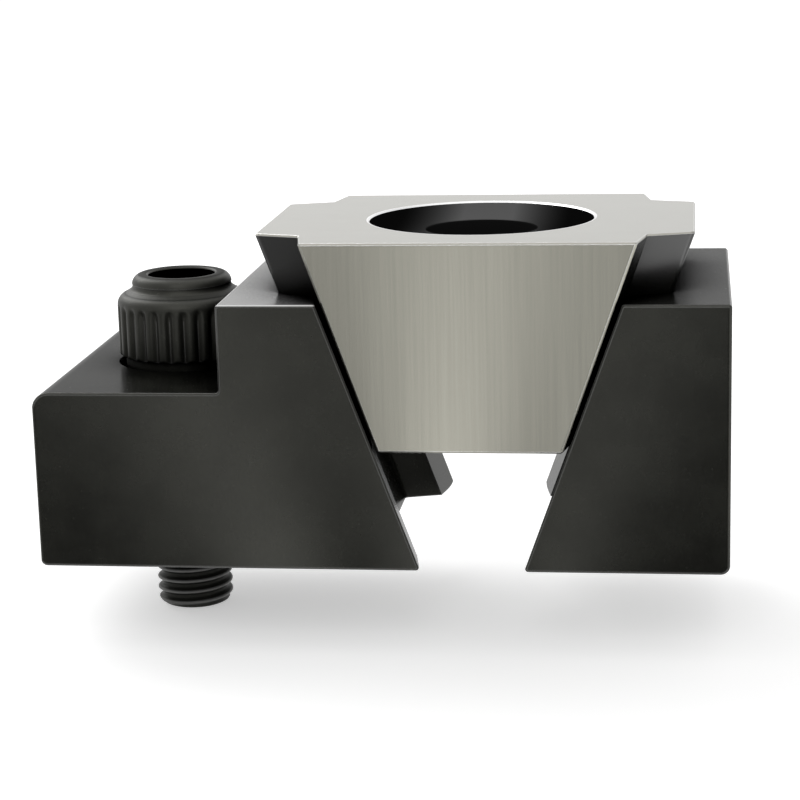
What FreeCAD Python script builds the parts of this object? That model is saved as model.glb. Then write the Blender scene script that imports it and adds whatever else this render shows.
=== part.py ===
"""Double wedge side clamp: a wedge drawn down between two jaws drives them apart.

Frame: X runs from the stop jaw to the moving jaw, Y is the depth and Z is up. The origin is
on the jaw screw's axis, in the plane of the jaws' undersides. Lengths are in millimetres.
"""

import FreeCAD
import Part

import math
import os

from FreeCAD import Vector

# Jaws
JAW_DEPTH = 50.0
JAW_HEIGHT = 40.0
STOP_JAW_LENGTH = 57.7
MOVING_JAW_LENGTH = 30.1
JAW_SPREAD = 15.3
STEP_HEIGHT = 26.8
STEP_ROUND = 2.6
FOOT_ROUND = 1.0
CORNER_ROUND = 1.4
UPRIGHT_ROUND = 0.5
EDGE_ROUND = 0.5
RIM_CHAMFER = 0.3

# Wedge and its tongues. The shoulders lean a little less than the tongues and the jaws, so the gap
# beside them widens upwards. The tongue's reach is past the jaws' inclined faces.
WEDGE_ANGLE = 20.0
WEDGE_HEIGHT = 31.0
WEDGE_LIFT = 18.0
SHOULDER_ANGLE = 19.4
SHOULDER_FLARE = 10.0
TONGUE_REACH = 7.1
TONGUE_DEPTH = 30.6
TONGUE_TAPER = 18.0
TONGUE_TIP_ROUND = 1.0
WEDGE_EDGE_CHAMFER = 0.3

# Seat and bore in the wedge's top
SEAT_RADIUS = 17.2
SEAT_DEPTH = 1.6
SEAT_SAG = 0.35
SEAT_RIM_CHAMFER = 0.25
BORE_RADIUS = 8.5
BORE_MOUTH_CHAMFER = 0.2

# Gaps between the wedge and the jaws. The first two are square to the inclined faces, and the
# first is at the wedge's underside.
FLANK_GAP = 0.64
TONGUE_FACE_GAP = 0.05
TONGUE_SIDE_GAP = 0.1
GROOVE_CORNER_ROUND = 0.8

# Jaw screw and its washer
SCREW_TO_END = 18.0
THREAD_RADIUS = 6.0
THREAD_TIP_CHAMFER = 1.6
THREAD_TIP_ROUND = 0.5
THREAD_STICKOUT = 13.0
WAIST_RADIUS = 5.2
NECK_RADIUS = 9.2
NECK_STANDOUT = 1.2
NECK_EDGE_ROUND = 0.5
RING_RADIUS = 10.2
RING_HEIGHT = 9.8
RING_SHOULDER_ROUND = 1.9
RING_FOOT_CHAMFER = 0.3
RING_WALL_GAP = 0.2
BOSS_RADIUS = 7.8
BOSS_HEIGHT = 2.1
BOSS_EDGE_ROUND = 1.6
SADDLE_RISE = 0.7
SADDLE_ROUND = 0.8
FLUTE_COUNT = 28
FLUTE_RADIUS = 0.8
FLUTE_DEPTH = 0.45
KEY_WIDTH = 8.0
KEY_DEPTH = 6.0
KEY_MOUTH_RADIUS = 5.2
KEY_MOUTH_ROUND = 0.5
KEY_MOUTH_DEPTH = 1.2
WASHER_THICKNESS = 2.0
WASHER_BORE_GAP = 0.3
WASHER_RIM_GAP = 0.3
WASHER_EDGE_ROUND = 0.2
COUNTERBORE_FLOOR = 12.0
COUNTERBORE_GAP = 0.8
SCREW_HOLE_GAP = 0.75
MOUTH_CHAMFER = 0.4

# How far a cutting tool passes the face that it cuts through
OVERCUT = 5.0

SLOPE = math.tan(math.radians(WEDGE_ANGLE))
SHOULDER_SLOPE = math.tan(math.radians(SHOULDER_ANGLE))
FLARE_SLOPE = math.tan(math.radians(SHOULDER_FLARE))
TAPER_SLOPE = math.tan(math.radians(TONGUE_TAPER))
FLANK_GAP_LEVEL = FLANK_GAP / math.cos(math.radians(WEDGE_ANGLE))
TONGUE_FACE_GAP_LEVEL = TONGUE_FACE_GAP / math.cos(math.radians(WEDGE_ANGLE))

# Places along X
STOP_JAW_END = -SCREW_TO_END
STOP_JAW_TOE = STOP_JAW_END + STOP_JAW_LENGTH
WEDGE_AXIS = STOP_JAW_TOE + JAW_SPREAD / 2
MOVING_JAW_TOE = STOP_JAW_TOE + JAW_SPREAD
MOVING_JAW_END = MOVING_JAW_TOE + MOVING_JAW_LENGTH
STEP_WALL = RING_RADIUS + RING_WALL_GAP

# Places along Z
WEDGE_TOP = WEDGE_LIFT + WEDGE_HEIGHT
NECK_FOOT = COUNTERBORE_FLOOR + WASHER_THICKNESS
RING_FOOT = STEP_HEIGHT + NECK_STANDOUT
RING_TOP = RING_FOOT + RING_HEIGHT
BOSS_FOOT = RING_TOP + SADDLE_RISE
BOSS_TOP = BOSS_FOOT + BOSS_HEIGHT
COUNTERBORE_RADIUS = NECK_RADIUS + COUNTERBORE_GAP


def jaw_opening(height):
    """Half the level distance between the two jaws' inclined faces at a height."""
    return JAW_SPREAD / 2 + height * SLOPE


def wedge_half_width(height):
    """Half the level width of the wedge's front face at a height."""
    return jaw_opening(WEDGE_LIFT) - FLANK_GAP_LEVEL + (height - WEDGE_LIFT) * SHOULDER_SLOPE


def rounded_wire(corners, place):
    """Closed wire through corners (u, v, radius), each rounded by its own radius."""
    starts = []
    ends = []
    edges = []
    for i, (u, v, radius) in enumerate(corners):
        before = corners[i - 1]
        after = corners[(i + 1) % len(corners)]
        corner = Vector(u, v, 0)
        if radius == 0:
            starts.append(corner)
            ends.append(corner)
            continue
        back = (Vector(before[0], before[1], 0) - corner).normalize()
        ahead = (Vector(after[0], after[1], 0) - corner).normalize()
        half = back.getAngle(ahead) / 2
        start = corner + back * (radius / math.tan(half))
        end = corner + ahead * (radius / math.tan(half))
        inward = (back + ahead).normalize()
        middle = corner + inward * (radius / math.sin(half) - radius)
        edges.append(Part.Arc(place(start), place(middle), place(end)).toShape())
        starts.append(start)
        ends.append(end)
    for i in range(len(corners)):
        line_from = ends[i - 1]
        line_to = starts[i]
        if line_from.distanceToPoint(line_to) > 1e-6:
            edges.append(Part.makeLine(place(line_from), place(line_to)))
    return Part.Wire(Part.__sortEdges__(edges))


def side_view(point):
    """Puts a drawn point (x, z) on the front face's plane."""
    return Vector(point.x, -JAW_DEPTH / 2, point.y)


def plan_view(height):
    """Returns a function that puts a drawn point (x, y) at a height."""
    return lambda point: Vector(point.x, point.y, height)


def half_section(point):
    """Puts a drawn point (radius, z) on the XZ plane, for a turned piece."""
    return Vector(point.x, 0, point.y)


def prism_in_depth(corners):
    """Solid with a side outline that runs the jaws' whole depth."""
    face = Part.Face(rounded_wire(corners, side_view))
    return face.extrude(Vector(0, JAW_DEPTH, 0))


def turned(corners):
    """Solid turned about the Z axis from a half section."""
    face = Part.Face(rounded_wire(corners, half_section))
    return face.revolve(Vector(0, 0, 0), Vector(0, 0, 1), 360)


def chamfered_rims(solid, size):
    """Chamfers the outlines of a prism's front and back faces."""
    rims = [edge for edge in solid.Edges if edge.BoundBox.YLength < 1e-6]
    return solid.makeChamfer(size, rims)


def jaw_plan(end, toe):
    """Prism that rounds a jaw's two upright corners at its outer end."""
    half = JAW_DEPTH / 2
    corners = [
        (end, -half, UPRIGHT_ROUND),
        (end, half, UPRIGHT_ROUND),
        (toe, half, 0),
        (toe, -half, 0),
    ]
    face = Part.Face(rounded_wire(corners, plan_view(0)))
    return face.extrude(Vector(0, 0, JAW_HEIGHT))


def leaning_prism(section, drop, slope):
    """Solid that a level section leaves as it goes down and inwards, towards X = 0."""
    return section.extrude(Vector(-drop * slope, 0, -drop))


def flared_section(front, past, height):
    """Level section that widens from the jaws' front and back faces to the middle of the depth."""
    half = JAW_DEPTH / 2
    inside = front - OVERCUT
    edge = front - past * FLARE_SLOPE
    corners = [
        (inside, -half - past, 0),
        (edge, -half - past, 0),
        (front + half * FLARE_SLOPE, 0, 0),
        (edge, half + past, 0),
        (inside, half + past, 0),
    ]
    return Part.Face(rounded_wire(corners, plan_view(height)))


def tongue_section(tip, side_gap, tip_round, height):
    """Level section of a tongue or its groove, which narrows from its root to its tip."""
    half_tip = TONGUE_DEPTH / 2 + side_gap
    length = TONGUE_REACH + OVERCUT
    half_root = half_tip + length * TAPER_SLOPE
    corners = [
        (tip - length, -half_root, 0),
        (tip, -half_tip, tip_round),
        (tip, half_tip, tip_round),
        (tip - length, half_root, 0),
    ]
    return Part.Face(rounded_wire(corners, plan_view(height)))


def wedge_flank():
    """The wedge's flared shoulders on the +X side of an axis at X = 0."""
    section = flared_section(wedge_half_width(WEDGE_TOP), 0, WEDGE_TOP)
    return leaning_prism(section, WEDGE_HEIGHT, SHOULDER_SLOPE)


def tongue():
    """One tongue of the wedge, on the +X side of an axis at X = 0."""
    tip = jaw_opening(WEDGE_TOP) + TONGUE_REACH
    section = tongue_section(tip, 0, TONGUE_TIP_ROUND, WEDGE_TOP)
    return leaning_prism(section, WEDGE_HEIGHT, SLOPE)


def groove_cutters():
    """Tools for the flared face and the groove of the jaw on the +X side of an axis at X = 0."""
    top = JAW_HEIGHT + OVERCUT
    drop = JAW_HEIGHT + 2 * OVERCUT
    flare = flared_section(jaw_opening(top), OVERCUT, top)
    tip = jaw_opening(top) + TONGUE_REACH + TONGUE_FACE_GAP_LEVEL
    groove = tongue_section(tip, TONGUE_SIDE_GAP, GROOVE_CORNER_ROUND, top)
    return [leaning_prism(section, drop, SLOPE) for section in (flare, groove)]


def on_wedge_axis(shape):
    """The shape moved from X = 0 to the wedge's axis."""
    return shape.translated(Vector(WEDGE_AXIS, 0, 0))


def mirrored_over_x(shape):
    """The shape mirrored across the plane X = 0."""
    return shape.mirror(Vector(0, 0, 0), Vector(1, 0, 0))


def screw_hole_cutter():
    """Tool for the counterbore and through hole of the jaw screw, with a broken mouth."""
    hole = THREAD_RADIUS + SCREW_HOLE_GAP
    mouth = COUNTERBORE_RADIUS + MOUTH_CHAMFER
    return turned(
        [
            (0, -OVERCUT, 0),
            (hole + MOUTH_CHAMFER + OVERCUT, -OVERCUT, 0),
            (hole, MOUTH_CHAMFER, 0),
            (hole, COUNTERBORE_FLOOR, 0),
            (COUNTERBORE_RADIUS, COUNTERBORE_FLOOR, 0),
            (COUNTERBORE_RADIUS, STEP_HEIGHT - MOUTH_CHAMFER, 0),
            (mouth, STEP_HEIGHT, 0),
            (mouth, STEP_HEIGHT + OVERCUT, 0),
            (0, STEP_HEIGHT + OVERCUT, 0),
        ]
    )


def stop_jaw():
    """The fixed jaw: a low step for the screw, an upright wall and the inclined, grooved face."""
    crest = WEDGE_AXIS - jaw_opening(JAW_HEIGHT)
    block = prism_in_depth(
        [
            (STOP_JAW_END, 0, FOOT_ROUND),
            (STOP_JAW_TOE, 0, EDGE_ROUND),
            (crest, JAW_HEIGHT, EDGE_ROUND),
            (STEP_WALL, JAW_HEIGHT, EDGE_ROUND),
            (STEP_WALL, STEP_HEIGHT, EDGE_ROUND),
            (STOP_JAW_END, STEP_HEIGHT, STEP_ROUND),
        ]
    )
    block = chamfered_rims(block, RIM_CHAMFER)
    block = block.common(jaw_plan(STOP_JAW_END, STOP_JAW_TOE))
    tools = [on_wedge_axis(mirrored_over_x(tool)) for tool in groove_cutters()]
    return block.cut(tools).cut(screw_hole_cutter())


def moving_jaw():
    """The jaw that slides outwards: a plain block with the inclined, grooved face."""
    crest = WEDGE_AXIS + jaw_opening(JAW_HEIGHT)
    block = prism_in_depth(
        [
            (MOVING_JAW_TOE, 0, EDGE_ROUND),
            (MOVING_JAW_END, 0, CORNER_ROUND),
            (MOVING_JAW_END, JAW_HEIGHT, EDGE_ROUND),
            (crest, JAW_HEIGHT, EDGE_ROUND),
        ]
    )
    block = chamfered_rims(block, RIM_CHAMFER)
    block = block.common(jaw_plan(MOVING_JAW_END, MOVING_JAW_TOE))
    return block.cut([on_wedge_axis(tool) for tool in groove_cutters()])


def seat_cutter():
    """Tool for the shallow dished seat and the through bore in the wedge, with broken edges."""
    seat_floor = WEDGE_TOP - SEAT_DEPTH
    bore_foot = WEDGE_LIFT - OVERCUT
    above = WEDGE_TOP + OVERCUT
    outer = SEAT_RADIUS + SEAT_RIM_CHAMFER
    inner = BORE_RADIUS + BORE_MOUTH_CHAMFER
    rim = Vector(SEAT_RADIUS, 0, WEDGE_TOP - SEAT_RIM_CHAMFER)
    hollow = Vector((SEAT_RADIUS + inner) / 2, 0, (rim.z + seat_floor) / 2 - SEAT_SAG)
    mouth = Vector(inner, 0, seat_floor)
    bends = [
        mouth,
        Vector(BORE_RADIUS, 0, seat_floor - BORE_MOUTH_CHAMFER),
        Vector(BORE_RADIUS, 0, bore_foot),
        Vector(0, 0, bore_foot),
        Vector(0, 0, above),
        Vector(outer, 0, above),
        Vector(outer, 0, WEDGE_TOP),
        rim,
    ]
    outline = [Part.makeLine(first, second) for first, second in zip(bends, bends[1:])]
    outline.append(Part.Arc(rim, hollow, mouth).toShape())
    face = Part.Face(Part.Wire(Part.__sortEdges__(outline)))
    return face.revolve(Vector(0, 0, 0), Vector(0, 0, 1), 360)


def wedge_outline_edges(body):
    """Edges of the wedge's top and underside, and of its front and back faces."""
    edges = []
    for edge in body.Edges:
        box = edge.BoundBox
        on_top = box.ZMin > WEDGE_TOP - 1e-6
        under = box.ZMax < WEDGE_LIFT + 1e-6
        in_front = box.YMax < 1e-6 - JAW_DEPTH / 2
        behind = box.YMin > JAW_DEPTH / 2 - 1e-6
        if on_top or under or in_front or behind:
            edges.append(edge)
    return edges


def wedge():
    """The wedge: a tapered block with a tongue between two flared shoulders on each side."""
    top = wedge_half_width(WEDGE_TOP)
    bottom = wedge_half_width(WEDGE_LIFT)
    body = prism_in_depth(
        [
            (-bottom, WEDGE_LIFT, 0),
            (bottom, WEDGE_LIFT, 0),
            (top, WEDGE_TOP, 0),
            (-top, WEDGE_TOP, 0),
        ]
    )
    flanks = [wedge_flank(), tongue()]
    body = body.fuse(flanks + [mirrored_over_x(flank) for flank in flanks]).removeSplitter()
    body = body.makeChamfer(WEDGE_EDGE_CHAMFER, wedge_outline_edges(body))
    return on_wedge_axis(body.cut(seat_cutter()))


def hexagon_socket():
    """Tool for the screw's key socket."""
    corner_radius = KEY_WIDTH / 2 / math.cos(math.radians(30))
    turns = [math.radians(60 * i) for i in range(7)]
    corners = [Vector(corner_radius * math.cos(turn), corner_radius * math.sin(turn), 0) for turn in turns]
    face = Part.Face(Part.makePolygon(corners))
    return face.extrude(Vector(0, 0, KEY_DEPTH)).translated(Vector(0, 0, BOSS_TOP - KEY_DEPTH))


def flute_cutters():
    """Tools for the flutes around the screw's ring."""
    reach = RING_RADIUS - FLUTE_DEPTH + FLUTE_RADIUS
    tools = []
    for i in range(FLUTE_COUNT):
        turn = 2 * math.pi * i / FLUTE_COUNT
        foot = Vector(reach * math.cos(turn), reach * math.sin(turn), RING_FOOT - OVERCUT)
        tools.append(Part.makeCylinder(FLUTE_RADIUS, RING_HEIGHT + 2 * OVERCUT, foot))
    return tools


def jaw_screw():
    """The fixing screw: thread, waist, neck, fluted ring and a rounded boss with a key socket."""
    runout = THREAD_RADIUS - WAIST_RADIUS
    tip = THREAD_RADIUS - THREAD_TIP_CHAMFER
    blank = turned(
        [
            (0, -THREAD_STICKOUT, 0),
            (tip, -THREAD_STICKOUT, THREAD_TIP_ROUND),
            (THREAD_RADIUS, -THREAD_STICKOUT + THREAD_TIP_CHAMFER, THREAD_TIP_ROUND),
            (THREAD_RADIUS, 0, 0),
            (WAIST_RADIUS, runout, 0),
            (WAIST_RADIUS, NECK_FOOT, 0),
            (NECK_RADIUS, NECK_FOOT, NECK_EDGE_ROUND),
            (NECK_RADIUS, RING_FOOT, 0),
            (RING_RADIUS - RING_FOOT_CHAMFER, RING_FOOT, 0),
            (RING_RADIUS, RING_FOOT + RING_FOOT_CHAMFER, 0),
            (RING_RADIUS, RING_TOP, RING_SHOULDER_ROUND),
            (BOSS_RADIUS, BOSS_FOOT, SADDLE_ROUND),
            (BOSS_RADIUS, BOSS_TOP, BOSS_EDGE_ROUND),
            (KEY_MOUTH_RADIUS, BOSS_TOP, KEY_MOUTH_ROUND),
            (KEY_MOUTH_RADIUS, BOSS_TOP - KEY_MOUTH_DEPTH, 0),
            (0, BOSS_TOP - KEY_MOUTH_DEPTH, 0),
        ]
    )
    return blank.cut(flute_cutters()).cut(hexagon_socket())


def screw_washer():
    """The captive washer under the screw's neck, at the bottom of the counterbore."""
    bore = WAIST_RADIUS + WASHER_BORE_GAP
    rim = COUNTERBORE_RADIUS - WASHER_RIM_GAP
    return turned(
        [
            (bore, COUNTERBORE_FLOOR, 0),
            (rim, COUNTERBORE_FLOOR, WASHER_EDGE_ROUND),
            (rim, NECK_FOOT, WASHER_EDGE_ROUND),
            (bore, NECK_FOOT, 0),
        ]
    )


SUB_PARTS = {
    "stop_jaw": stop_jaw,
    "moving_jaw": moving_jaw,
    "wedge": wedge,
    "jaw_screw": jaw_screw,
    "screw_washer": screw_washer,
}


def main():
    """Builds every sub-part and writes it to its own STEP file."""
    os.makedirs("parts", exist_ok=True)
    for node, build in SUB_PARTS.items():
        shape = build()
        if shape.ShapeType == "Compound" and len(shape.Solids) == 1:
            shape = shape.Solids[0]
        print(node, shape.ShapeType, len(shape.Solids), round(shape.Volume, 1), shape.isValid())
        shape.exportStep("parts/" + node + ".step")


main()
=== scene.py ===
"""Looks of the wedge side clamp: materials, the turned screw, a pale studio and the camera.

The frame's units are metres, so sizes named here in millimetres are multiplied by MM.
"""

import math

import bpy
from mathutils import Matrix, Vector


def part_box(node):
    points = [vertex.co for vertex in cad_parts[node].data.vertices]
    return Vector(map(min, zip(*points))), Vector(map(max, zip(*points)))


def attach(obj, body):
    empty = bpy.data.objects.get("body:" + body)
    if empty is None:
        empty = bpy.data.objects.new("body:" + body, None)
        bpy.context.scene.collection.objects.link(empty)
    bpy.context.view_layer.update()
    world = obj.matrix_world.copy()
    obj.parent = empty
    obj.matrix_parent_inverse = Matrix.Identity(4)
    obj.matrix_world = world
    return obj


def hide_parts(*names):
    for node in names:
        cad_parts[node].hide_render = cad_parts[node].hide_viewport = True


MM = 0.001

# Camera, in the frame
CAMERA_PLACE = (79.84 * MM, -345.77 * MM, 100.79 * MM)
CAMERA_AZIMUTH = 7.546
CAMERA_TILT = -13.016
CAMERA_ROLL = -1.449
CAMERA_LENS = 102.74

# Sizes of the screw, the same as its solid's
PITCH = 1.75 * MM
THREAD_DEPTH = 0.75 * MM
THREAD_RADIUS = 6.0 * MM
THREAD_CREST_SHARE = 0.05
THREAD_SLOPE_SHARE = 0.75
TIP_ROUND = 1.6 * MM
WAIST_RADIUS = 5.2 * MM
WAIST_FOOT = 0.8 * MM
NECK_RADIUS = 9.2 * MM
NECK_FOOT = 14.0 * MM
NECK_FOOT_ROUND = 0.5 * MM
RING_RADIUS = 10.2 * MM
RING_FOOT = 28.0 * MM
RING_FOOT_ROUND = 0.5 * MM
RING_TO_TOP = 2.8 * MM
RING_SHOULDER_ROUND = 1.9 * MM
BOSS_RADIUS = 7.8 * MM
BOSS_EDGE_ROUND = 1.6 * MM
SADDLE_ROUND = 1.0 * MM
SADDLE_CENTRE_RISE = 1.2 * MM
SADDLE_OUTER_SHARE = 0.9
FLUTE_COUNT = 28
FLUTE_DEPTH = 0.55 * MM
FLUTE_FADE = 1.4 * MM
FLUTE_END_RISE = 0.6 * MM
KEY_WIDTH = 8.0 * MM
KEY_DEPTH = 6.0 * MM
KEY_MOUTH_RADIUS = 5.2 * MM
KEY_MOUTH_ROUND = 0.5 * MM
KEY_MOUTH_DEPTH = 1.2 * MM

# Sizes of the wedge that its finish follows
SEAT_RADIUS = 17.2 * MM
SEAT_DEPTH = 1.6 * MM
SEAT_RIM_WIDTH = 0.45 * MM
WEDGE_EDGE_CHAMFER = 0.3 * MM

# Steps of the screw's mesh
STEPS_PER_FLUTE = 12
THREAD_ROWS = 130
RING_ROWS = 14
SHARP_ANGLE = 40.0

# Colours of the blackened steel, as linear light
OXIDE_GREY = 0.0105
OXIDE_TINT = (0.98, 1.0, 0.84)
OXIDE_SHEEN_TINT = (1.0, 1.0, 0.90, 1.0)
# Worn edges: lighter partly as wear and partly as a painted highlight
WORN_AND_HIGHLIGHT_GREY = 0.30
GROUND_TOP_GREY = 0.20
# A painted highlight on the ground top's rim
GROUND_RIM_HIGHLIGHT_GREY = 0.80
SCREW_GREY = 0.015
# Thread crests: lighter partly as wear and partly as a painted highlight
THREAD_CREST_WEAR_AND_HIGHLIGHT_GREY = 0.15

# Colours of the wedge, as linear light
WEDGE_SIDE_DARK = (0.306, 0.300, 0.258, 1.0)
WEDGE_SIDE_LIGHT = (0.365, 0.358, 0.309, 1.0)
WEDGE_TOP_DARK = (0.365, 0.358, 0.322, 1.0)
WEDGE_TOP_LIGHT = (0.410, 0.403, 0.366, 1.0)
# A painted highlight on the wedge's edges and the seat's rim
PAINTED_HIGHLIGHT_GREY = 0.90
# The seat's painted sheen, a painted reflection across its middle
SEAT_PAINTED_SHEEN_GREY = 0.10
SEAT_DARK_GREY = 0.003
BORE_GREY = 0.012

# Roughness, and shine as a specular level
OXIDE_ROUGHNESS = 0.22
OXIDE_SHINE = 0.44
OXIDE_TOP_SHINE_SHARE = 0.05
SCREW_ROUGHNESS = 0.40
SCREW_SHINE = 0.5
THREAD_GROOVE_SHINE = 0.12
WEDGE_ROUGHNESS = 0.22

# Patterns, as their number to the metre
CLOUD_SCALE = 130.0
GRAIN_SCALE = 2200.0
SPECK_SCALE = 2600.0
UPRIGHT_LINE_SCALE = 1800.0
UPRIGHT_BAND_SCALE = 260.0
TOP_LINE_SCALE = 1500.0

# The blackened steel's patches and specks as shares of its grey, and how much they and the worn edges
# with their painted highlight cover
CLOUD_SHARES = (0.7, 1.35)
SPECK_SHARE = 3.0
SPECK_COVER = 0.8
WORN_AND_HIGHLIGHT_COVER = 0.4
TONGUE_FLANK_SHARE = 0.6

# The blackened steel's grain, in its roughness and as a bump, and the wedge's brushed lines, as their
# share of its tone and as a bump
GRAIN_ROUGHNESS = (-0.06, 0.10)
GRAIN_BUMP = 0.3
GRAIN_HEIGHT = 0.015 * MM
LINE_SHARE = 0.75
LINE_BUMP = 0.10
LINE_HEIGHT = 0.01 * MM

# Widths of the worn edges with their painted highlight, of the wedge's painted edge highlight and of the
# ground top's band with its highlighted rim, and the cosines of a rounded normal where these edge marks
# begin and are full
WORN_AND_HIGHLIGHT_EDGE = 0.35 * MM
WEDGE_HIGHLIGHT_EDGE = 0.15 * MM
GROUND_RIM = 0.17 * MM
EDGE_MARK_COSINES = (0.998, 0.93)

# Upward part of a normal: from a slope to a top, a flat ground top, and between a side and a top
TOP_NORMALS = (0.8, 0.95)
GROUND_TOP_NORMAL = 0.985
SIDE_OR_TOP_NORMAL = 0.5

# Painted corner shade: how far away the faces that close a corner off may be, and the openness at which
# the painted shade is full and at which it is gone
JAW_CORNER_SHADE = (12.0 * MM, 0.45, 0.90)
SCREW_CORNER_SHADE = (9.0 * MM, 0.25, 0.80)
WEDGE_CORNER_SHADE = (6.0 * MM, 0.30, 0.80)

# The thread's crests, the seat's painted sheen, and how far a finish stops from an edge
CREST_BEGINS_UNDER = 0.25 * MM
CREST_FULL_UNDER = 0.03 * MM
SEAT_PAINTED_SHEEN_INNER = 4.0 * MM
SEAT_PAINTED_SHEEN_OUTER = 13.5 * MM
SEAT_TOP_MARGIN = 0.15 * MM
FLANK_MARGIN = 0.05 * MM
INNER_MARGIN = 0.1 * MM
SOCKET_TOP_MARGIN = 0.3 * MM

# Floor and world. In reflections the floor has soft bands in front of the clamp. A band's place
# is a distance across the view, in units of a width that grows with the distance ahead
FLOOR_SIZE = 12.0
FLOOR_GREY = 0.93
FLOOR_GLOW = 0.45
FLOOR_GAP = 0.3 * MM
AMBIENT_LIGHT = 0.6
FRONT_REFLECTION = 0.5
BACK_REFLECTION = 1.0
SIDE_REFLECTION = 0.7
OVERHEAD_REFLECTION = 1.2
BACK_DIRECTIONS = (-0.5, 0.6)
SIDE_DIRECTIONS = (0.25, 0.85)
OVERHEAD_DIRECTIONS = (0.7, 0.95)
REFLECTED_FLOOR = 0.85
BAND_WIDTH = 11.2 * MM
BAND_WIDTH_GROWTH = 0.123
BAND_DRIFT = 0.091
BAND_OFFSET = -4.9 * MM
BAND_FADE = 0.03
REFLECTED_START = -8.0
REFLECTED_END = 16.0
REFLECTED_PEAK = 2.0
REFLECTED_BANDS = (
    (-8.0, 0.60),
    (-3.8, 0.05),
    (-2.6, 0.35),
    (-1.75, 1.90),
    (-0.9, 0.00),
    (0.0, 1.90),
    (0.5, 0.72),
    (0.8, 0.35),
    (1.1, 1.40),
    (1.8, 0.05),
    (3.4, 0.05),
    (6.0, 1.80),
    (10.0, 2.00),
    (16.0, 0.85),
)

# Lamps: name, place, width, height and power. They face the wedge
LAMPS = (
    ("back_left_lamp", (-0.7, 0.8, 1.0), 1.2, 1.2, 10.0),
    ("front_lamp", (0.02, -0.9, 0.75), 0.5, 0.5, 1.5),
)
LAMP_AIM_HEIGHT = 20.0 * MM

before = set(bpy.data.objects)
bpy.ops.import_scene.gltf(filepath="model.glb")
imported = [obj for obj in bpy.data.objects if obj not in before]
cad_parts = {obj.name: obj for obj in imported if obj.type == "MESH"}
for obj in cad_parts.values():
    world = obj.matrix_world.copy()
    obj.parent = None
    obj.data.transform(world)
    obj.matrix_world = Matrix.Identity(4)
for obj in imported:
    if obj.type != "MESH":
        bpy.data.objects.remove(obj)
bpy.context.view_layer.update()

wedge_low, wedge_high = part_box("wedge")
screw_low, screw_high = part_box("jaw_screw")
jaw_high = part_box("stop_jaw")[1]
wedge_axis = (wedge_low.x + wedge_high.x) / 2


def grey(level):
    """A grey of this level, with full alpha."""
    return (level, level, level, 1.0)


def oxide(level):
    """Blackened steel's faintly warm dark grey of this level."""
    return tuple(level * share for share in OXIDE_TINT) + (1.0,)


def connect(tree, value, socket):
    """Links a socket to another, or sets a plain value on it."""
    if isinstance(value, bpy.types.NodeSocket):
        tree.links.new(value, socket)
    else:
        socket.default_value = value


def add_node(tree, kind, settings=None, **inputs):
    """A shader node with its settings, and its inputs by name."""
    node = tree.nodes.new("ShaderNode" + kind)
    for key, value in (settings or {}).items():
        setattr(node, key, value)
    for key, value in inputs.items():
        connect(tree, value, node.inputs[key.replace("_", " ")])
    return node


def calculate(tree, operation, *values):
    """The result of one Math node."""
    node = add_node(tree, "Math", {"operation": operation})
    for socket, value in zip(node.inputs, values):
        connect(tree, value, socket)
    return node.outputs[0]


def mix_color(tree, share, first, second):
    """Mix of two colours."""
    node = add_node(tree, "Mix", {"data_type": "RGBA"})
    for index, value in ((0, share), (6, first), (7, second)):
        connect(tree, value, node.inputs[index])
    return node.outputs[2]


def mix_value(tree, share, first, second):
    """Mix of two numbers."""
    node = add_node(tree, "Mix", {"data_type": "FLOAT"})
    for index, value in ((0, share), (2, first), (3, second)):
        connect(tree, value, node.inputs[index])
    return node.outputs[0]


def between(tree, value, low, high):
    """0 at low, 1 at high, and straight from one to the other."""
    node = add_node(tree, "MapRange", {"clamp": True})
    for index, number in enumerate((value, low, high, 0.0, 1.0)):
        connect(tree, number, node.inputs[index])
    return node.outputs[0]


def new_material(name):
    """An empty material and its node tree."""
    material = bpy.data.materials.new(name)
    material.use_nodes = True
    material.node_tree.nodes.clear()
    return material, material.node_tree


def finish_material(tree, **inputs):
    """A Principled shader with these inputs on the material's output."""
    shader = add_node(tree, "BsdfPrincipled", None, **inputs)
    output = tree.nodes.new("ShaderNodeOutputMaterial")
    tree.links.new(shader.outputs[0], output.inputs["Surface"])


def place_and_normal(tree):
    """The point on the piece as a vector, and the point and the normal as X, Y and Z."""
    coords = tree.nodes.new("ShaderNodeTexCoord")
    place = add_node(tree, "SeparateXYZ", Vector=coords.outputs["Object"])
    normal = add_node(tree, "SeparateXYZ", Vector=coords.outputs["Normal"])
    return coords.outputs["Object"], place.outputs, normal.outputs


def noise(tree, vector, scale, stretch=(1, 1, 1), detail=4.0, roughness=0.6):
    """Noise of this scale per metre, drawn out along the axes whose stretch is small."""
    mapping = add_node(tree, "Mapping", Vector=vector, Scale=stretch)
    sizes = {"Scale": scale, "Detail": detail, "Roughness": roughness}
    return add_node(tree, "TexNoise", Vector=mapping.outputs[0], **sizes).outputs["Fac"]


def edge_share(tree, radius):
    """How near an edge a point is, from 0 to 1, and the normal rounded over the edge."""
    bevel = add_node(tree, "Bevel", {"samples": 8}, Radius=radius)
    geometry = tree.nodes.new("ShaderNodeNewGeometry")
    dot = add_node(tree, "VectorMath", {"operation": "DOT_PRODUCT"})
    tree.links.new(bevel.outputs[0], dot.inputs[0])
    tree.links.new(geometry.outputs["Normal"], dot.inputs[1])
    return between(tree, dot.outputs["Value"], *EDGE_MARK_COSINES), bevel.outputs[0]


def bumped(tree, height, strength, distance, normal):
    """A normal with a bump on it."""
    node = add_node(tree, "Bump", Height=height, Strength=strength, Distance=distance)
    tree.links.new(normal, node.inputs["Normal"])
    return node.outputs[0]


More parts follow.
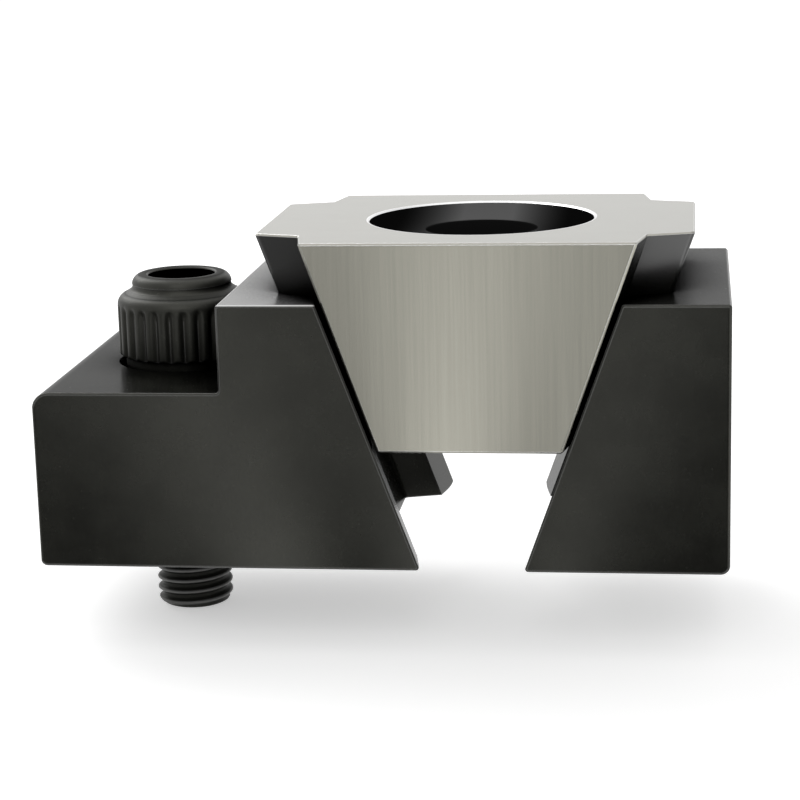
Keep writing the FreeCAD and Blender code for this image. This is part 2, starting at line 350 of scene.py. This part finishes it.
def unshaded_share(tree, reach, dark, clear):
    """Share left unshaded: 1 on open faces, down to 0 in corners that other faces close off within this
    reach, where shade is painted in.
    """
    node = add_node(tree, "AmbientOcclusion", {"samples": 8}, Distance=reach)
    return between(tree, node.outputs["AO"], dark, clear)


def axis_distance(tree, place, axis):
    """Distance from an upright axis at this X."""
    across = calculate(tree, "SUBTRACT", place[0], axis)
    depth_square = calculate(tree, "MULTIPLY", place[1], place[1])
    squares = calculate(tree, "MULTIPLY_ADD", across, across, depth_square)
    return calculate(tree, "SQRT", squares)


def ground_top(tree, place, normal, shade, shine, specular):
    """Lays the stop jaw's lighter ground top, and a painted highlight on its rim, over a finish."""
    above = calculate(tree, "GREATER_THAN", place[2], jaw_high.z - GROUND_RIM)
    level = calculate(tree, "GREATER_THAN", normal[2], GROUND_TOP_NORMAL)
    ground = calculate(tree, "MULTIPLY", above, level)
    highlight_rim = calculate(tree, "SUBTRACT", above, ground)
    shade = mix_color(tree, ground, shade, grey(GROUND_TOP_GREY))
    # Painted highlight on the rim of the ground top
    shade = mix_color(tree, highlight_rim, shade, grey(GROUND_RIM_HIGHLIGHT_GREY))
    shine = mix_value(tree, ground, shine, specular)
    return shade, shine


def thread_and_socket(tree, place, shade, shine, unshaded):
    """Lays the thread's lighter crests, worn and with a painted highlight, over the screw's finish, and
    paints the inside of its key socket black as painted shade.
    """
    distance = axis_distance(tree, place, 0.0)
    under_jaw = calculate(tree, "LESS_THAN", place[2], 0.0)
    crest = between(tree, distance, THREAD_RADIUS - CREST_BEGINS_UNDER, THREAD_RADIUS - CREST_FULL_UNDER)
    crest = calculate(tree, "MULTIPLY", under_jaw, crest)
    groove = calculate(tree, "SUBTRACT", under_jaw, crest)
    shade = mix_color(tree, crest, shade, grey(THREAD_CREST_WEAR_AND_HIGHLIGHT_GREY))
    shine = mix_value(tree, groove, shine, THREAD_GROOVE_SHINE)
    unshaded = calculate(tree, "MAXIMUM", unshaded, under_jaw)
    # Painted shade: the inside of the key socket is painted black
    inner = calculate(tree, "LESS_THAN", distance, KEY_MOUTH_RADIUS + INNER_MARGIN)
    low = calculate(tree, "GREATER_THAN", place[2], screw_high.z - KEY_DEPTH - INNER_MARGIN)
    high = calculate(tree, "LESS_THAN", place[2], screw_high.z - SOCKET_TOP_MARGIN)
    socket = calculate(tree, "MULTIPLY", inner, calculate(tree, "MULTIPLY", low, high))
    unshaded = calculate(tree, "MULTIPLY", unshaded, calculate(tree, "SUBTRACT", 1.0, socket))
    return shade, shine, unshaded


def black_oxide(
    name, level=OXIDE_GREY, rough=OXIDE_ROUGHNESS, specular=OXIDE_SHINE, ground=False, screw=False
):
    """Blackened steel: dark and fine grained, with worn edges that also carry a painted highlight,
    duller on top, and painted shade that darkens its corners to black.
    """
    material, tree = new_material(name)
    vector, place, normal = place_and_normal(tree)
    cloud = between(tree, noise(tree, vector, CLOUD_SCALE), 0.35, 0.65)
    grain = noise(tree, vector, GRAIN_SCALE, detail=2.0)
    specks = between(tree, noise(tree, vector, SPECK_SCALE, detail=1.0), 0.70, 0.76)
    wear_and_highlight, soft_normal = edge_share(tree, WORN_AND_HIGHLIGHT_EDGE)
    speck_cover = calculate(tree, "MULTIPLY", specks, SPECK_COVER)
    wear_and_highlight_cover = calculate(tree, "MULTIPLY", wear_and_highlight, WORN_AND_HIGHLIGHT_COVER)
    shade = mix_color(tree, cloud, oxide(level * CLOUD_SHARES[0]), oxide(level * CLOUD_SHARES[1]))
    shade = mix_color(tree, speck_cover, shade, oxide(level * SPECK_SHARE))
    # Worn edges, lighter as wear and as a painted highlight
    shade = mix_color(tree, wear_and_highlight_cover, shade, grey(WORN_AND_HIGHLIGHT_GREY))
    facing_up = between(tree, normal[2], *TOP_NORMALS)
    shine = mix_value(tree, facing_up, specular, specular * OXIDE_TOP_SHINE_SHARE)
    if ground:
        shade, shine = ground_top(tree, place, normal, shade, shine, specular)
    if screw:
        unshaded = unshaded_share(tree, *SCREW_CORNER_SHADE)
        shade, shine, unshaded = thread_and_socket(tree, place, shade, shine, unshaded)
    else:
        unshaded = unshaded_share(tree, *JAW_CORNER_SHADE)
    # Painted shade: in corners the colour goes to black and the shine goes out
    finish_material(
        tree,
        Base_Color=mix_color(tree, unshaded, grey(0.0), shade),
        Roughness=mix_value(tree, grain, rough + GRAIN_ROUGHNESS[0], rough + GRAIN_ROUGHNESS[1]),
        Specular_IOR_Level=calculate(tree, "MULTIPLY", shine, unshaded),
        Specular_Tint=OXIDE_SHEEN_TINT,
        Normal=bumped(tree, grain, GRAIN_BUMP, GRAIN_HEIGHT, soft_normal),
    )
    return material


def brushed_steel(tree, vector, on_top):
    """The wedge's brushed steel, with upright lines on its sides and lines along X on its top."""
    upright_lines = noise(tree, vector, UPRIGHT_LINE_SCALE, (1, 1, 0.015), detail=6.0, roughness=0.75)
    upright_bands = noise(tree, vector, UPRIGHT_BAND_SCALE, (1, 1, 0.02), detail=3.0)
    top_lines = noise(tree, vector, TOP_LINE_SCALE, (0.02, 1, 1), detail=4.0, roughness=0.7)
    lines = mix_value(tree, on_top, upright_lines, top_lines)
    tone = between(tree, mix_value(tree, LINE_SHARE, upright_bands, lines), 0.3, 0.7)
    side_steel = mix_color(tree, tone, WEDGE_SIDE_DARK, WEDGE_SIDE_LIGHT)
    top_steel = mix_color(tree, tone, WEDGE_TOP_DARK, WEDGE_TOP_LIGHT)
    return mix_color(tree, on_top, side_steel, top_steel), lines


def seat_finish(tree, place):
    """The blackened seat, with a painted sheen, a painted reflection of its turned surface, in front of
    and behind its dark bore.
    """
    aside = calculate(tree, "ABSOLUTE", calculate(tree, "SUBTRACT", place[0], wedge_axis))
    painted_sheen = between(tree, aside, SEAT_PAINTED_SHEEN_OUTER, SEAT_PAINTED_SHEEN_INNER)
    painted_sheen = calculate(tree, "MULTIPLY", painted_sheen, painted_sheen)
    bore = calculate(tree, "LESS_THAN", place[2], wedge_high.z - SEAT_DEPTH - INNER_MARGIN)
    painted_sheen = calculate(tree, "MULTIPLY", painted_sheen, calculate(tree, "SUBTRACT", 1.0, bore))
    dark = mix_color(tree, bore, grey(SEAT_DARK_GREY), grey(BORE_GREY))
    return mix_color(tree, painted_sheen, dark, grey(SEAT_PAINTED_SHEEN_GREY))


def wedge_finish():
    """Ground bright steel, with blackened tongue flanks, seat and bore, painted highlights on its edges
    and the seat's rim, a painted sheen in the seat, and painted shade in its corners.
    """
    material, tree = new_material("wedge_ground")
    vector, place, normal = place_and_normal(tree)
    distance = axis_distance(tree, place, wedge_axis)
    on_top = calculate(tree, "GREATER_THAN", normal[2], SIDE_OR_TOP_NORMAL)
    in_seat = calculate(tree, "LESS_THAN", distance, SEAT_RADIUS)
    under_top = calculate(tree, "LESS_THAN", place[2], wedge_high.z - SEAT_TOP_MARGIN)
    seat = calculate(tree, "MULTIPLY", in_seat, under_top)
    in_rim = calculate(tree, "LESS_THAN", distance, SEAT_RADIUS + SEAT_RIM_WIDTH)
    highlight_rim = calculate(tree, "MULTIPLY", in_rim, on_top)
    upright = calculate(tree, "LESS_THAN", calculate(tree, "ABSOLUTE", normal[2]), SIDE_OR_TOP_NORMAL)
    flank_end = wedge_high.y - WEDGE_EDGE_CHAMFER - FLANK_MARGIN
    inside_rims = calculate(tree, "LESS_THAN", calculate(tree, "ABSOLUTE", place[1]), flank_end)
    beside = calculate(tree, "MULTIPLY", upright, inside_rims)
    steel, lines = brushed_steel(tree, vector, on_top)
    # Painted highlight: the wedge's edges and the seat's rim are painted a bright grey
    wear_and_highlight, soft_normal = edge_share(tree, WEDGE_HIGHLIGHT_EDGE)
    painted_highlight = calculate(tree, "MAXIMUM", wear_and_highlight, highlight_rim)
    steel = mix_color(tree, painted_highlight, steel, grey(PAINTED_HIGHLIGHT_GREY))
    unshaded = unshaded_share(tree, *WEDGE_CORNER_SHADE)
    shade = mix_color(tree, beside, steel, oxide(OXIDE_GREY * TONGUE_FLANK_SHARE))
    # Painted shade: the wedge's corners go to black, all but the seat's highlighted rim
    shade = mix_color(tree, calculate(tree, "MAXIMUM", unshaded, highlight_rim), grey(0.0), shade)
    shade = mix_color(tree, seat, shade, seat_finish(tree, place))
    dark = calculate(tree, "MAXIMUM", seat, beside)
    finish_material(
        tree,
        Base_Color=shade,
        Metallic=calculate(tree, "SUBTRACT", 1.0, dark),
        Roughness=WEDGE_ROUGHNESS,
        Specular_IOR_Level=calculate(tree, "MULTIPLY", mix_value(tree, seat, 1.0, 0.0), unshaded),
        Normal=bumped(tree, lines, LINE_BUMP, LINE_HEIGHT, soft_normal),
    )
    return material


def arc(centre, radius, start, end, steps):
    """Points of an arc in the half section, from one angle in degrees to another."""
    points = []
    for step in range(steps + 1):
        angle = math.radians(start + (end - start) * step / steps)
        points.append((centre[0] + radius * math.cos(angle), centre[1] + radius * math.sin(angle)))
    return points


def head_section():
    """Radius and height of the screw from its waist up to the rim of the key's mouth."""
    top = screw_high.z
    ring_top = top - RING_TO_TOP
    shoulder = ring_top - RING_SHOULDER_ROUND
    foot = RING_FOOT + RING_FOOT_ROUND
    points = [(WAIST_RADIUS, WAIST_FOOT), (WAIST_RADIUS, NECK_FOOT)]
    neck_foot = (NECK_RADIUS - NECK_FOOT_ROUND, NECK_FOOT + NECK_FOOT_ROUND)
    points += arc(neck_foot, NECK_FOOT_ROUND, -90, 0, 4)
    points += [(NECK_RADIUS, RING_FOOT - RING_FOOT_ROUND), (NECK_RADIUS, RING_FOOT)]
    points += arc((RING_RADIUS - RING_FOOT_ROUND, foot), RING_FOOT_ROUND, -90, 0, 5)
    points += [(RING_RADIUS, foot + (shoulder - foot) * row / RING_ROWS) for row in range(1, RING_ROWS)]
    points += arc((RING_RADIUS - RING_SHOULDER_ROUND, shoulder), RING_SHOULDER_ROUND, 0, 78, 10)
    saddle = (BOSS_RADIUS + SADDLE_ROUND * SADDLE_OUTER_SHARE, ring_top + SADDLE_CENTRE_RISE)
    points += arc(saddle, SADDLE_ROUND, 250, 180, 7)
    points += arc((BOSS_RADIUS - BOSS_EDGE_ROUND, top - BOSS_EDGE_ROUND), BOSS_EDGE_ROUND, 5, 90, 10)
    mouth = (KEY_MOUTH_RADIUS + KEY_MOUTH_ROUND, top - KEY_MOUTH_ROUND)
    points += arc(mouth, KEY_MOUTH_ROUND, 100, 180, 6)
    return points


def key_radius(turn):
    """Distance of the hexagon's wall from the axis at this turn."""
    side = math.pi / 3
    return KEY_WIDTH / 2 / math.cos(turn % side - side / 2)


def flute_drop(z, turn):
    """Depth of the flutes: round ribs with narrow valleys, which run out under the shoulder."""
    end = screw_high.z - RING_TO_TOP - RING_SHOULDER_ROUND + FLUTE_END_RISE
    share = min(1.0, max(0.0, (end - z) / FLUTE_FADE))
    fade = share * share * (3 - 2 * share)
    valley = (0.5 + 0.5 * math.cos(turn * FLUTE_COUNT)) ** 2
    return FLUTE_DEPTH * valley * fade


def thread_drop(z, turn):
    """Depth of the right-handed thread's round-bottomed groove, which runs out below the waist."""
    phase = (z / PITCH - turn / (2 * math.pi)) % 1.0
    slope = min(1.0, max(0.0, (abs(phase - 0.5) * 2 - THREAD_CREST_SHARE) / THREAD_SLOPE_SHARE))
    fade = min(1.0, max(0.0, -z / PITCH))
    return THREAD_DEPTH * slope * slope * (3 - 2 * slope) * fade


def tip_radius(z):
    """Radius of the thread's rounded tip at this height."""
    share = max(0.0, 1 - (z - screw_low.z) / TIP_ROUND)
    return THREAD_RADIUS - TIP_ROUND * (1 - math.sqrt(1 - share * share))


def thread_radius(z, turn):
    """Radius of the thread at this height and turn, with its tip's round."""
    return min(tip_radius(z), THREAD_RADIUS - thread_drop(z, turn))


def screw_rings():
    """Rings of points, from the thread's tip up over the head and down into the key socket."""
    segments = FLUTE_COUNT * STEPS_PER_FLUTE
    turns = [2 * math.pi * step / segments for step in range(segments)]
    top = screw_high.z
    rings = []
    for row in range(THREAD_ROWS + 1):
        z = screw_low.z * (1 - row / THREAD_ROWS)
        rings.append([(thread_radius(z, turn), z, turn) for turn in turns])
    for radius, z in head_section():
        rings.append([(min(radius, RING_RADIUS - flute_drop(z, turn)), z, turn) for turn in turns])
    rings.append([(KEY_MOUTH_RADIUS, top - KEY_MOUTH_DEPTH, turn) for turn in turns])
    rings.append([(key_radius(turn), top - KEY_MOUTH_DEPTH, turn) for turn in turns])
    rings.append([(key_radius(turn), top - KEY_DEPTH, turn) for turn in turns])
    return rings


def turned_screw():
    """The whole screw as one mesh: thread, waist, neck, fluted ring, boss and key socket."""
    rings = screw_rings()
    count = len(rings[0])
    vertices = []
    for ring in rings:
        vertices += [(radius * math.cos(turn), radius * math.sin(turn), z) for radius, z, turn in ring]
    faces = []
    for row in range(len(rings) - 1):
        for step in range(count):
            first = row * count + step
            second = row * count + (step + 1) % count
            faces.append((first, second, second + count, first + count))
    tip = len(vertices)
    vertices.append((0.0, 0.0, screw_low.z))
    floor = len(vertices)
    vertices.append((0.0, 0.0, screw_high.z - KEY_DEPTH))
    last = (len(rings) - 1) * count
    for step in range(count):
        after = (step + 1) % count
        faces.append((tip, after, step))
        faces.append((floor, last + step, last + after))
    mesh = bpy.data.meshes.new("turned_screw")
    mesh.from_pydata(vertices, [], faces)
    mesh.shade_smooth()
    mesh.set_sharp_from_angle(angle=math.radians(SHARP_ANGLE))
    finish = black_oxide("screw_black", SCREW_GREY, SCREW_ROUGHNESS, SCREW_SHINE, screw=True)
    mesh.materials.append(finish)
    screw = bpy.data.objects.new("turned_screw", mesh)
    bpy.context.scene.collection.objects.link(screw)
    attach(screw, "screw")
    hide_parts("jaw_screw")


def paint_solids():
    """Gives each CAD node that stays its finish."""
    finishes = {
        "stop_jaw": black_oxide("stop_jaw_black", ground=True),
        "moving_jaw": black_oxide("moving_jaw_black"),
        "wedge": wedge_finish(),
        "screw_washer": black_oxide("washer_black"),
    }
    for node, material in finishes.items():
        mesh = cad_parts[node].data
        mesh.materials.clear()
        mesh.materials.append(material)


def reflected_floor(tree):
    """The floor's glow in reflections: soft bands in front of the clamp, and an even glow behind it."""
    coords = tree.nodes.new("ShaderNodeTexCoord")
    place = add_node(tree, "SeparateXYZ", Vector=coords.outputs["Object"]).outputs
    ahead = calculate(tree, "MAXIMUM", calculate(tree, "SUBTRACT", wedge_low.y, place[1]), 0.0)
    width = calculate(tree, "MULTIPLY_ADD", ahead, BAND_WIDTH_GROWTH, BAND_WIDTH)
    across = calculate(tree, "MULTIPLY_ADD", ahead, BAND_DRIFT, place[0])
    across = calculate(tree, "SUBTRACT", across, wedge_axis + BAND_OFFSET)
    share = between(tree, calculate(tree, "DIVIDE", across, width), REFLECTED_START, REFLECTED_END)
    ramp = add_node(tree, "ValToRGB", None, Fac=share)
    ramp.color_ramp.interpolation = "EASE"
    stops = ramp.color_ramp.elements
    stops[1].position = 1.0
    for index, (position, level) in enumerate(REFLECTED_BANDS):
        fraction = (position - REFLECTED_START) / (REFLECTED_END - REFLECTED_START)
        stop = stops[0] if index == 0 else stops[-1] if fraction == 1 else stops.new(fraction)
        stop.color = grey(level / REFLECTED_PEAK)
    bands = calculate(tree, "MULTIPLY", ramp.outputs["Color"], REFLECTED_PEAK)
    in_front = between(tree, ahead, 0.0, BAND_FADE)
    return mix_value(tree, in_front, REFLECTED_FLOOR, bands)


def make_floor():
    """Pale floor just under the screw's tip. Reflections see its glow only."""
    material, tree = new_material("studio_floor")
    path = tree.nodes.new("ShaderNodeLightPath")
    seen = calculate(tree, "MAXIMUM", path.outputs["Is Camera Ray"], path.outputs["Is Transmission Ray"])
    diffuse = add_node(tree, "BsdfDiffuse", Color=grey(FLOOR_GREY))
    glow_level = calculate(tree, "MULTIPLY", seen, FLOOR_GLOW)
    glow = add_node(tree, "Emission", Color=grey(1.0), Strength=glow_level)
    direct = tree.nodes.new("ShaderNodeAddShader")
    tree.links.new(diffuse.outputs[0], direct.inputs[0])
    tree.links.new(glow.outputs[0], direct.inputs[1])
    reflected = add_node(tree, "Emission", Color=grey(1.0), Strength=reflected_floor(tree))
    either = add_node(tree, "MixShader", None, Fac=path.outputs["Is Glossy Ray"])
    tree.links.new(direct.outputs[0], either.inputs[1])
    tree.links.new(reflected.outputs[0], either.inputs[2])
    output = tree.nodes.new("ShaderNodeOutputMaterial")
    tree.links.new(either.outputs[0], output.inputs["Surface"])
    bpy.ops.mesh.primitive_plane_add(size=FLOOR_SIZE, location=(0, 0, screw_low.z - FLOOR_GAP))
    floor = bpy.context.object
    floor.name = "studio_floor"
    floor.data.materials.append(material)


def make_world():
    """White surroundings for the camera. For reflections they are dimmer in front and at the sides,
    and a little brighter overhead.
    """
    world = bpy.data.worlds.new("studio_world")
    bpy.context.scene.world = world
    world.use_nodes = True
    tree = world.node_tree
    tree.nodes.clear()
    coords = tree.nodes.new("ShaderNodeTexCoord")
    direction = add_node(tree, "SeparateXYZ", Vector=coords.outputs["Generated"])
    path = tree.nodes.new("ShaderNodeLightPath")
    behind = between(tree, direction.outputs[1], *BACK_DIRECTIONS)
    beside = between(tree, calculate(tree, "ABSOLUTE", direction.outputs[0]), *SIDE_DIRECTIONS)
    overhead = between(tree, direction.outputs[2], *OVERHEAD_DIRECTIONS)
    reflected = mix_value(tree, behind, FRONT_REFLECTION, BACK_REFLECTION)
    reflected = mix_value(tree, beside, reflected, SIDE_REFLECTION)
    reflected = mix_value(tree, overhead, reflected, OVERHEAD_REFLECTION)
    unseen = mix_value(tree, path.outputs["Is Glossy Ray"], AMBIENT_LIGHT, reflected)
    seen = calculate(tree, "MAXIMUM", path.outputs["Is Camera Ray"], path.outputs["Is Transmission Ray"])
    strength = mix_value(tree, seen, unseen, 1.0)
    background = add_node(tree, "Background", Color=grey(1.0), Strength=strength)
    output = tree.nodes.new("ShaderNodeOutputWorld")
    tree.links.new(background.outputs[0], output.inputs["Surface"])


def add_lamp(name, place, width, height, power):
    """A rectangular area lamp that faces the wedge."""
    data = bpy.data.lights.new(name, "AREA")
    data.shape = "RECTANGLE"
    data.size = width
    data.size_y = height
    data.energy = power
    lamp = bpy.data.objects.new(name, data)
    bpy.context.scene.collection.objects.link(lamp)
    lamp.location = place
    aim = Vector((wedge_axis, 0, LAMP_AIM_HEIGHT)) - Vector(place)
    lamp.rotation_euler = aim.to_track_quat("-Z", "Y").to_euler()


def make_camera():
    """The photograph's camera."""
    azimuth = math.radians(CAMERA_AZIMUTH)
    tilt = math.radians(CAMERA_TILT)
    level = math.cos(tilt)
    forward = Vector((-math.sin(azimuth) * level, math.cos(azimuth) * level, math.sin(tilt)))
    right = Vector((math.cos(azimuth), math.sin(azimuth), 0))
    up = right.cross(forward)
    roll = Matrix.Rotation(-math.radians(CAMERA_ROLL), 3, forward)
    data = bpy.data.cameras.new("photo_camera")
    data.lens = CAMERA_LENS
    data.sensor_width = 36.0
    camera = bpy.data.objects.new("photo_camera", data)
    bpy.context.scene.collection.objects.link(camera)
    axes = Matrix((roll @ right, roll @ up, -forward)).transposed()
    camera.matrix_world = Matrix.Translation(CAMERA_PLACE) @ axes.to_4x4()
    bpy.context.scene.camera = camera


paint_solids()
turned_screw()
make_floor()
make_world()
for lamp_values in LAMPS:
    add_lamp(*lamp_values)
make_camera()
bpy.context.scene.view_settings.view_transform = "Standard"
